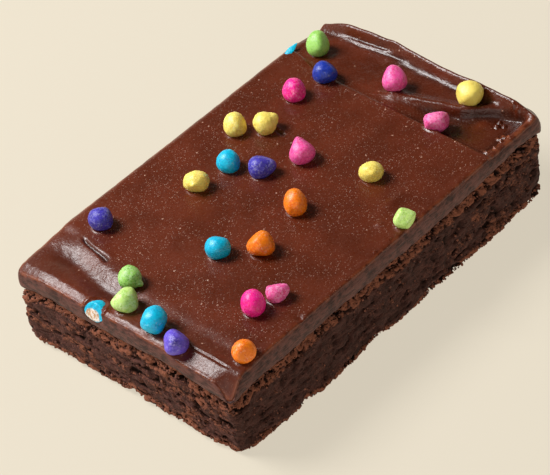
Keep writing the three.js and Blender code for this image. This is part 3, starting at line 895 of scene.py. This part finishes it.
def ball_grid(rows, columns):
    """Directions over a ball from pole to pole along +Y, with a point at each pole, and the faces between."""
    polar = np.linspace(0, math.pi, rows + 2)[1:-1, None]
    turn = np.linspace(0, 2 * math.pi, columns, endpoint=False)
    flat = np.ones(columns)
    ring = np.stack([np.sin(polar) * np.cos(turn), np.cos(polar) * flat, -np.sin(polar) * np.sin(turn)], -1)
    points = np.concatenate([ring.reshape(-1, 3), [[0, 1, 0], [0, -1, 0]]])
    rings = np.arange(rows * columns).reshape(rows, columns)
    ends = [fan(len(points) - 2, rings[0], True), fan(len(points) - 1, rings[-1], False)]
    return points, bands(rings), np.concatenate(ends)


def turn_to(direction):
    """The rotation matrix that takes +Y to a direction by the shortest way."""
    axis = np.cross([0, 1, 0], direction)
    cross = np.array([[0, -axis[2], axis[1]], [axis[2], 0, -axis[0]], [-axis[1], axis[0], 0]])
    return np.eye(3) + cross + cross @ cross / (1 + direction[1])


def seen_direction(direction):
    """The direction in the slab's frame of one given as seen in the photograph, with length 1."""
    return direction @ VIEW / np.linalg.norm(direction)


def fit_to(points, name):
    """Points moved and scaled evenly so that their box has the middle and the mean size of a solid's box."""
    low, high = np.array(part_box(name)) / MM
    size = points.max(0) - points.min(0)
    scale = (high - low).mean() / size.mean()
    return (points - (points.max(0) + points.min(0)) / 2) * scale + (high + low) / 2


def chip_mesh(name, pebble):
    """A drop: a ball whose radius has a bell-shaped peak, a flatter base, lumps and a fine pebbling. Each
    flattened face holds the radius under its distance over the cosine to its direction, by a soft minimum."""
    form = CHIP_FORMS[name]
    seed = 11 * list(CHIP_FORMS).index(name)
    way, quads, triangles = ball_grid(*CHIP_GRID)
    from_peak = np.arccos(np.clip(way[:, 1], -1, 1))
    x, y, z = way.T
    radius = 0.97 + form.height * bell(from_peak, form.spread) - 0.12 * bell(math.pi - from_peak, 0.7)
    radius += 0.05 * noise(x * 1.7 + seed, y * 1.7, z * 1.7)
    uneven = 0.022 * noise(x * 4 + seed, y * 4, z * 4) + 0.012 * noise(x * 9 + seed, y * 9, z * 9)
    radius += form.lumpy * uneven
    way = way @ turn_to(seen_direction(form.peak)).T
    for *direction, distance in form.faces:
        reach = distance / np.maximum(way @ seen_direction(direction), 0.05)
        radius = (radius**-12 + reach**-12) ** (-1 / 12)
    radius += pebble / MM / CHIP_RADIUS * noise(x * 20, y * 20 + seed, z * 20)
    points = way * radius[:, None]
    width, height = (np.ptp(points @ axis) for axis in (ACROSS, UPWARD))
    stretch = math.sqrt(form.aspect * height / width)
    sideways = np.outer(points @ ACROSS, ACROSS) * (stretch - 1)
    upwards = np.outer(points @ UPWARD, UPWARD) * (1 / stretch - 1)
    points += sideways + upwards
    blotch = noise(x * 2.2 + seed, y * 2.2, z * 2.2 + 5) + 0.5 * noise(x * 5, y * 5 + seed, z * 5)
    pale = np.clip(form.pale + 0.3 * blotch + form.worn * bell(from_peak, 1.25 * form.spread), 0, 1)
    return build(name, fit_to(points, name), quads, triangles, pale=pale)


def cut_chip_mesh(name, pebble):
    """A flattened ball cut by the knife: what lies past the slanted cut, or past the side of the icing, is
    pressed flat onto it, and there the shell shows as an uneven ring round the pale inside."""
    way, quads, triangles = ball_grid(*CUT_CHIP_GRID)
    x, y, z = way.T
    radius = 1 + 0.05 * noise(x * 1.7 + 7, y * 1.7, z * 1.7)
    radius += pebble / MM / CHIP_RADIUS * noise(x * 20, y * 20, z * 20)
    middle, reach = cut_chip_place()
    points = middle + way * radius[:, None] * reach * [1, 1, CUT_FLATNESS]
    depth = past_cut(points, middle, reach)
    across, up = (points[:, 1:] - middle[1:]).T / reach
    rough = 0.12 * noise(across * 5, up * 5, 2.5) * ramp(depth, 0, 0.3)
    points += np.outer(np.maximum(depth, 0) + rough, CUT_SLANT)
    points[:, 0] = np.maximum(points[:, 0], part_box(name)[0][0] / MM)
    from_core = np.hypot(across - 0.02, up / 0.8) + 0.2 * noise(across * 3, up * 3, 7.5)
    inside = ramp(depth, 0, 0.1) * (1 - ramp(from_core, 0.66, 0.78))
    return build(name, points, quads, triangles, inside=inside, pale=np.full(len(points), 0.2))


def flake_mesh(name, pebble):
    """A thin flake: a flattened ball with an uneven outline that narrows to one end, fitted to its solid."""
    way, quads, triangles = ball_grid(*FLAKE_GRID)
    x, y, z = way.T
    radius = 1 + 0.16 * noise(x * 2.2 + 3, y * 2.2, z * 2.2)
    radius += pebble / MM / CHIP_RADIUS * noise(x * 12, y * 12, z * 12)
    points = way * radius[:, None] * [1.95, 0.65, 0.3]
    points[:, 1:] *= (1 - 0.55 * ramp(x, 0, 1))[:, None]
    rise, turn = math.radians(15), math.radians(-22)
    about_x = np.array([[1, 0, 0], [0, math.cos(rise), -math.sin(rise)], [0, math.sin(rise), math.cos(rise)]])
    about_y = np.array([[math.cos(turn), 0, math.sin(turn)], [0, 1, 0], [-math.sin(turn), 0, math.cos(turn)]])
    points = fit_to(points @ (about_x @ about_y).T, name)
    return build(name, points, quads, triangles, pale=np.full(len(points), 0.2))


def crumbs_mesh(settings):
    """Loose crumbs: many small uneven balls set on the sides, most of them in the bands under the icing and
    at the base."""
    chance = np.random.default_rng(12)
    count = settings.crumb_count
    way, quads, triangles = ball_grid(*CRUMB_GRID)
    run = chance.random(count) * 4 * (HALF_X + HALF_Y)
    kind = chance.random(count)
    height = np.select(
        [kind < 0.45, kind < 0.75],
        [chance.normal(12.7, 0.7, count), np.abs(chance.normal(0, 0.9, count)) + 0.15],
        chance.uniform(0.5, 13, count),
    )
    height = np.clip(height, 0.15, 13.6)
    corners = 2 * np.cumsum([0, HALF_X, HALF_Y, HALF_X, HALF_Y])
    u = np.interp(run, corners, [-1, 1, 1, -1, -1])
    v = np.interp(run, corners, [-1, -1, 1, 1, -1])
    corner, edge = cake_rounding(height)
    x0, y0 = plan_point(u, v, edge, corner)
    sunk = chance.uniform(-0.05, 0.25, count)
    x, y = plan_point(u, v, edge - cake_lean(x0, y0, height) + sunk, corner)
    height = height * seam_height(x, y) / SEAM_HEIGHT + bottom_lift(x, y, height)
    size = settings.crumb_size / MM * (0.35 + 0.65 * chance.random(count) ** 2)
    size = np.minimum(size, height + 0.02)
    stretch = chance.uniform(0.65, 1.35, (count, len(way), 1))
    points = np.stack([x, y, height], -1)[:, None] + way * stretch * size[:, None, None]
    start = np.arange(count)[:, None, None] * len(way)
    tone = np.repeat(chance.random(count), len(way))
    faces = (quads + start).reshape(-1, 4), (triangles + start).reshape(-1, 3)
    return build("crumbs", points.reshape(-1, 3), *faces, tone=tone)


# Materials


def shade(colour, share):
    """A colour made darker by a share under 1, or paler by one over 1."""
    return [share * c for c in colour]


class Value:
    """A number or colour that varies over a surface. Arithmetic on a number adds Math nodes."""

    def __init__(self, paint, socket):
        self.paint = paint
        self.socket = socket

    def maths(self, operation, *values):
        settings = {"operation": operation}
        return self.paint.node("ShaderNodeMath", settings, dict(enumerate(values)), "Value")

    def __add__(self, other):
        return self.maths("ADD", self, other)

    def __sub__(self, other):
        return self.maths("SUBTRACT", self, other)

    def __rsub__(self, other):
        return self.maths("SUBTRACT", other, self)

    def __mul__(self, other):
        return self.maths("MULTIPLY", self, other)

    __radd__ = __add__
    __rmul__ = __mul__

    def between(self, low, high):
        """Smooth share from 0 where the number is low to 1 where it is high."""
        settings = {"interpolation_type": "SMOOTHSTEP"}
        inputs = {"Value": self, "From Min": low, "From Max": high}
        return self.paint.node("ShaderNodeMapRange", settings, inputs, "Result")


class Paint:
    """The nodes of one material, or of the world."""

    def __init__(self, owner, place="Object"):
        owner.use_nodes = True
        self.owner = owner
        self.tree = owner.node_tree
        self.tree.nodes.clear()
        self.place = self.node("ShaderNodeTexCoord", {}, {}, place)

    def node(self, kind, settings, inputs, output):
        """Adds a node, sets its settings, then the values or links of its sockets, and gives one output."""
        node = self.tree.nodes.new(kind)
        for name, value in settings.items():
            setattr(node, name, value)
        for name, value in inputs.items():
            if isinstance(value, Value):
                self.tree.links.new(value.socket, node.inputs[name])
            else:
                node.inputs[name].default_value = value
        return Value(self, node.outputs[output])

    def field(self, name):
        """A field of the mesh."""
        return self.node("ShaderNodeAttribute", {"attribute_name": name}, {}, "Fac")

    def grain(self, size, detail=2.0, roughness=0.5, stretch=(1, 1, 1)):
        """Noise from 0 to 1 whose lumps are about `size` millimetres across."""
        place = self.place
        if tuple(stretch) != (1, 1, 1):
            place = self.node("ShaderNodeMapping", {}, {"Vector": place, "Scale": stretch}, "Vector")
        inputs = {"Vector": place, "Scale": 1 / (size * MM), "Detail": detail, "Roughness": roughness}
        return self.node("ShaderNodeTexNoise", {}, inputs, "Fac")

    def dots(self, spacing, radius, kept):
        """Soft dots from 0 to 1 about `spacing` millimetres apart, with a radius given as a share of that.
        Only a share of them, `kept`, shows."""
        inputs = {"Vector": self.place, "Scale": 1 / (spacing * MM), "Randomness": 1.0}
        distance = self.node("ShaderNodeTexVoronoi", {}, inputs, "Distance")
        colour = Value(self, distance.socket.node.outputs["Color"])
        chance = self.node("ShaderNodeSeparateColor", {}, {"Color": colour}, 0)
        return (1 - distance.between(0.6 * radius, 1.7 * radius)) * chance.between(1 - kept, 1)

    def mix(self, share, first, second):
        """A colour between two others."""
        first, second = (c if isinstance(c, Value) else (*c, 1) for c in (first, second))
        return self.node("ShaderNodeMix", {"data_type": "RGBA"}, {0: share, 6: first, 7: second}, 2)

    def bump(self, height, depth):
        """A normal from a height of 0 to 1 that stands for `depth` millimetres."""
        inputs = {"Height": height, "Distance": depth * MM, "Strength": 1.0}
        return self.node("ShaderNodeBump", {}, inputs, "Normal")

    def finish(self, **inputs):
        """The surface: a Principled shader with these socket values."""
        named = {name.replace("_", " "): value for name, value in inputs.items()}
        return self.show(self.node("ShaderNodeBsdfPrincipled", {}, named, "BSDF"))

    def show(self, surface, kind="ShaderNodeOutputMaterial"):
        """Makes this shader what is seen."""
        output = self.tree.nodes.new(kind)
        self.tree.links.new(surface.socket, output.inputs["Surface"])
        return self.owner


def icing_paint(settings):
    """Spread fudge: a soft gloss with fine pale specks, silkier where the blade worked it, and wet round the
    chips. Painted shade darkens its hollows, the slit, the band under the flap and the parts towards the
    front and the right end."""
    paint = Paint(bpy.data.materials.new("fudge icing"))
    edge, worked, darkened, wet = (paint.field(name) for name in ("edge", "worked", "darkened", "wet"))
    broad = paint.grain(7, 3)
    silk = paint.grain(0.38, 2, 0.5, (1.2, 0.8, 1))
    ripple = paint.grain(1.3, 1)
    patch = paint.grain(9, 2).between(0.3, 0.55)
    fine_specks = paint.dots(0.3, 0.24, 0.6) * (0.25 + patch * 0.75) * (1 - worked * 0.6)
    specks = (fine_specks * 0.62 + paint.dots(1.7, 0.08, 0.5) * 0.9) * settings.specks
    colour = paint.mix(broad.between(0.3, 0.7), shade(settings.colour, 0.84), shade(settings.colour, 1.14))
    # Painted shade: where the darkened share is high the colour turns towards a dark copy of itself.
    colour = paint.mix(darkened * 0.72, colour, shade(settings.colour, 0.22))
    colour = paint.mix(specks, colour, SPECK_COLOUR)
    burr = edge * paint.grain(1.6, 2).between(0.4, 0.58) * 0.6
    colour = paint.mix(burr, colour, BURR_COLOUR)
    roughness = (silk - 0.5) * 0.3 + (1 - settings.gloss) + (broad - 0.5) * 0.1 + worked * 0.05 - wet * 0.14
    height = silk * (0.06 + worked * 0.22) + ripple * (0.1 + worked * 0.4) + specks * 0.4
    return paint.finish(
        Base_Color=colour,
        Roughness=roughness,
        Normal=paint.bump(height, 0.2),
        IOR=1.46,
        Specular_IOR_Level=0.52,
    )


def cut_icing_paint(settings):
    """Knife-cut fudge: matt, with streaks where the knife dragged it, and a thin brown burr in places."""
    paint = Paint(bpy.data.materials.new("cut fudge icing"))
    edge = paint.field("edge")
    drag = paint.grain(0.7, 4, 0.6, (0.4, 0.4, 1.6))
    fleck = paint.grain(0.3, 3, 0.65)
    cloud = paint.grain(1.8, 3, 0.6)
    dark, light = (shade(settings.cut_colour, share) for share in (0.4, 1.5))
    colour = paint.mix((drag * 0.4 + fleck * 0.2 + cloud * 0.4).between(0.4, 0.58), dark, light)
    burr = edge * paint.grain(1.6, 2).between(0.45, 0.6) * 0.8
    colour = paint.mix(burr, colour, CUT_BURR_COLOUR)
    return paint.finish(
        Base_Color=colour,
        Roughness=0.5 + (fleck - 0.5) * 0.3,
        Normal=paint.bump(drag + fleck * 0.4, 0.16),
        Specular_IOR_Level=0.22,
    )


def cake_paint(settings):
    """Cake: greyish where the knife smeared it, brown open crumb between, dark pores along the sides as
    painted shade, painted shade in the creases and under the icing, and a front face painted darker as shade.
    """
    paint = Paint(bpy.data.materials.new("chocolate cake"))
    crumb, painted_pit_shade, front = (paint.field(name) for name in ("crumb", "painted_pit_shade", "front"))
    grit = paint.grain(0.34, 3, 0.7)
    patch = paint.grain(1.6, 3, 0.5, (1, 1, 1.8))
    pore = paint.grain(0.7, 2, 0.5, (1, 1, 2)).between(0.6, 0.68)
    open_share = (crumb + (grit - 0.5) * 1.1).between(0.2, 0.5)
    dark, light = (shade(settings.smear_colour, share) for share in (0.6, 1.35))
    smear = paint.mix((patch * 0.55 + grit * 0.45).between(0.38, 0.62), dark, light)
    # Painted shade over the front face: its smear is darkened towards the shade colour.
    smear = paint.mix(front * 0.25, smear, settings.pore_shade_colour)
    # Dark and light copies of the crumb colour, mixed by grit and by the crumb share, which carries painted
    # light on the lumps' tops and painted shade in their creases.
    tone = (crumb * 0.6 + grit * 0.9 - 0.35).between(0, 0.56)
    open_tone = paint.mix(tone, shade(settings.crumb_colour, 0.3), shade(settings.crumb_colour, 1.35))
    colour = paint.mix(open_share, smear, open_tone)
    # Painted shade in the pores, the creases and under the icing: the colour turns towards the near-black
    # shade colour.
    hollow = (painted_pit_shade + pore * (0.5 + crumb * 0.5)).between(0.2, 0.9)
    colour = paint.mix(hollow, colour, settings.pore_shade_colour)
    height = grit * 1.3 + paint.grain(0.15, 2) * 0.4 - pore * 1.2
    return paint.finish(
        Base_Color=colour,
        Roughness=0.55 + crumb * 0.25 + grit * 0.1,
        Normal=paint.bump(height, 0.22),
        Specular_IOR_Level=0.08,
    )


def crumbs_paint(settings):
    """Loose crumbs: from the smeared cake's tone to a warm brown."""
    paint = Paint(bpy.data.materials.new("loose crumbs"))
    tone = paint.field("tone")
    return paint.finish(
        Base_Color=paint.mix(tone, settings.smear_colour, shade(settings.crumb_colour, 1.25)),
        Roughness=0.75,
        Normal=paint.bump(paint.grain(0.2, 2), 0.08),
        Specular_IOR_Level=0.25,
    )


def candy_paint(name, colour, settings):
    """Candy shell: a satin sugar coat with darker flecks, pale mottling and fine pits."""
    paint = Paint(bpy.data.materials.new(name))
    pale = paint.field("pale")
    mottle = paint.grain(0.4, 3, 0.7)
    share = (mottle + pale * 0.36 - 0.74).between(-0.06, 0.14)
    light = [0.74 * c + 0.22 for c in colour]
    darkened = [0.78 * c * (0.35 + 0.65 * c) for c in colour]
    body = paint.mix(share * 0.9, colour, light)
    fleck = paint.grain(0.42, 3, 0.7) * 0.75 + paint.grain(1.8, 2) * 0.25
    body = paint.mix((1 - fleck.between(0.41, 0.53)) * (0.3 + pale * 0.7), body, darkened)
    if name == "candy cyan":
        core = paint.mix(paint.grain(0.5, 3).between(0.42, 0.58), *CORE_COLOURS)
        body = paint.mix(paint.field("inside"), body, core)
    pits = paint.grain(0.2, 3, 0.6)
    return paint.finish(
        Base_Color=body,
        Roughness=(1 - settings.gloss) + pale * 0.15 + (pits - 0.5) * 0.15,
        Normal=paint.bump(pits, 0.03),
        Specular_IOR_Level=0.45,
        Subsurface_Weight=0.12,
        Subsurface_Radius=(1.0, 1.0, 1.0),
        Subsurface_Scale=0.0006,
    )


# Operators


class BuildCake(bpy.types.Operator):
    """Builds the crumbly cake under the icing"""

    bl_idname = "brownie.build_cake"
    bl_label = "Cake"

    def execute(self, context):
        settings = context.scene.brownie_cake
        cake = place("brownie_cake", cake_mesh(settings), "cake", "cake")
        cake.data.materials.append(cake_paint(settings))
        return {"FINISHED"}


class BuildCrumbs(bpy.types.Operator):
    """Scatters loose crumbs on the cake's sides"""

    bl_idname = "brownie.build_crumbs"
    bl_label = "Loose crumbs"

    def execute(self, context):
        settings = context.scene.brownie_cake
        crumbs = place("brownie_crumbs", crumbs_mesh(settings), "cake")
        crumbs.data.materials.append(crumbs_paint(settings))
        return {"FINISHED"}


class BuildIcing(bpy.types.Operator):
    """Builds the fudge icing with its blade marks and the lips round the chips"""

    bl_idname = "brownie.build_icing"
    bl_label = "Icing"

    def execute(self, context):
        settings = context.scene.brownie_icing
        icing = place("brownie_icing", icing_mesh(settings.lip / MM), "icing", "icing")
        icing.data.materials.append(icing_paint(settings))
        icing.data.materials.append(cut_icing_paint(settings))
        return {"FINISHED"}


class BuildChips(bpy.types.Operator):
    """Builds the candy-coated chips"""

    bl_idname = "brownie.build_chips"
    bl_label = "Candy chips"

    def execute(self, context):
        settings = context.scene.brownie_candy
        paints = {
            colour: candy_paint(f"candy {colour}", values, settings)
            for colour, values in CANDY_COLOURS.items()
        }
        meshes = {name: chip_mesh(name, settings.pebble) for name in CHIP_FORMS}
        meshes["candy_cyan_cut"] = cut_chip_mesh("candy_cyan_cut", settings.pebble)
        meshes["candy_cyan_flake"] = flake_mesh("candy_cyan_flake", settings.pebble)
        for name, mesh in meshes.items():
            colour = name.split("_")[1]
            chip = place(f"shell_{name}", mesh, f"candy_{colour}", name)
            chip.data.materials.append(paints[colour])
        return {"FINISHED"}


def stand(thing, right, up, back, position):
    """Adds a camera or light to the scene, at a position and with these directions as its own axes."""
    thing.matrix_world = Matrix(np.column_stack([right, up, back, position]).tolist()).to_4x4()
    bpy.context.scene.collection.objects.link(thing)


def add_area_light(name, direction, distance, width, power):
    """A square soft light that shines at the slab from a direction."""
    light = bpy.data.lights.new(name, "AREA")
    light.size = width
    light.energy = power
    away = np.array(direction) / np.linalg.norm(direction)
    side = np.cross([0, 0, 1], away)
    side /= np.linalg.norm(side)
    stand(bpy.data.objects.new(name, light), side, np.cross(away, side), away, away * distance)


# The floor's half width in millimetres
FLOOR_REACH = 3000


class BuildStage(bpy.types.Operator):
    """Sets the floor, the lights and the camera"""

    bl_idname = "brownie.build_stage"
    bl_label = "Stage"

    def execute(self, context):
        settings = context.scene.brownie_stage
        self.floor(settings)
        self.backdrop(settings)
        add_area_light(
            "key light",
            direction=(-0.28, 0.56, 0.78),
            distance=0.7,
            width=settings.key_width,
            power=settings.key_power,
        )
        add_area_light(
            "fill light", direction=(-0.85, -0.45, 0.35), distance=0.8, width=0.6, power=settings.fill_power
        )
        self.camera(context.scene)
        return {"FINISHED"}

    def floor(self, settings):
        """A wide floor that glows a little, so that the slab's shadow on it stays faint."""
        corners = np.array([[-1, -1, 0], [1, -1, 0], [1, 1, 0], [-1, 1, 0]]) * FLOOR_REACH
        floor = bpy.data.objects.new("floor", build("floor", corners, [[0, 1, 2, 3]]))
        bpy.context.scene.collection.objects.link(floor)
        colour = (*settings.floor_colour, 1)
        paint = Paint(bpy.data.materials.new("pale floor"))
        glow = paint.node("ShaderNodeEmission", {}, {"Color": colour, "Strength": 1.0}, "Emission")
        matt = paint.node("ShaderNodeBsdfDiffuse", {}, {"Color": colour}, "BSDF")
        mixed = paint.node("ShaderNodeMixShader", {}, {0: settings.floor_shadow, 1: glow, 2: matt}, "Shader")
        floor.data.materials.append(paint.show(mixed))

    def backdrop(self, settings):
        """A world with the floor's colour round the horizon, and dimmer above, as under a dark ceiling."""
        paint = Paint(bpy.data.worlds.new("studio"), "Generated")
        height = paint.node("ShaderNodeSeparateXYZ", {}, {"Vector": paint.place}, "Z")
        dim = [settings.ceiling * c for c in settings.floor_colour]
        colour = paint.mix(height.between(0.12, 0.4), list(settings.floor_colour), dim)
        background = paint.node("ShaderNodeBackground", {}, {"Color": colour}, "Background")
        bpy.context.scene.world = paint.show(background, "ShaderNodeOutputWorld")
        bpy.context.scene.view_settings.view_transform = "Standard"

    def camera(self, scene):
        """The photograph's view."""
        tilt = math.radians(TILT)
        right = ACROSS * math.cos(tilt) + UPWARD * math.sin(tilt)
        up = UPWARD * math.cos(tilt) - ACROSS * math.sin(tilt)
        lens = bpy.data.cameras.new("camera")
        lens.lens = LENS
        lens.shift_x, lens.shift_y = SHIFT
        lens.clip_start = 0.01
        scene.camera = bpy.data.objects.new("camera", lens)
        stand(scene.camera, right, up, OUTWARD, OUTWARD * CAMERA_DISTANCE + [0, 0, AIM_HEIGHT])


class BrowniePanel(bpy.types.Panel):
    """Lists the brownie's settings and pieces"""

    bl_idname = "VIEW3D_PT_brownie"
    bl_label = "Brownie"
    bl_space_type = "VIEW_3D"
    bl_region_type = "UI"
    bl_category = "Brownie"

    def draw(self, context):
        for group, operators in SECTIONS.items():
            box = self.layout.box()
            settings = getattr(context.scene, group)
            for name in settings.bl_rna.properties.keys():
                if name not in ("rna_type", "name"):
                    box.prop(settings, name)
            for operator in operators:
                box.operator(operator.bl_idname)


SETTINGS = {
    "brownie_cake": CakeSettings,
    "brownie_icing": IcingSettings,
    "brownie_candy": CandySettings,
    "brownie_stage": StageSettings,
}
SECTIONS = {
    "brownie_cake": (BuildCake, BuildCrumbs),
    "brownie_icing": (BuildIcing,),
    "brownie_candy": (BuildChips,),
    "brownie_stage": (BuildStage,),
}


def register():
    for group, settings in SETTINGS.items():
        bpy.utils.register_class(settings)
        setattr(bpy.types.Scene, group, PointerProperty(type=settings))
    for operators in SECTIONS.values():
        for operator in operators:
            bpy.utils.register_class(operator)
    bpy.utils.register_class(BrowniePanel)


def unregister():
    bpy.utils.unregister_class(BrowniePanel)
    for operators in SECTIONS.values():
        for operator in operators:
            bpy.utils.unregister_class(operator)
    for group, settings in SETTINGS.items():
        delattr(bpy.types.Scene, group)
        bpy.utils.unregister_class(settings)


def main():
    """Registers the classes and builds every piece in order."""
    register()
    bpy.ops.brownie.build_cake()
    bpy.ops.brownie.build_crumbs()
    bpy.ops.brownie.build_icing()
    bpy.ops.brownie.build_chips()
    bpy.ops.brownie.build_stage()


if __name__ == "__main__":
    main()
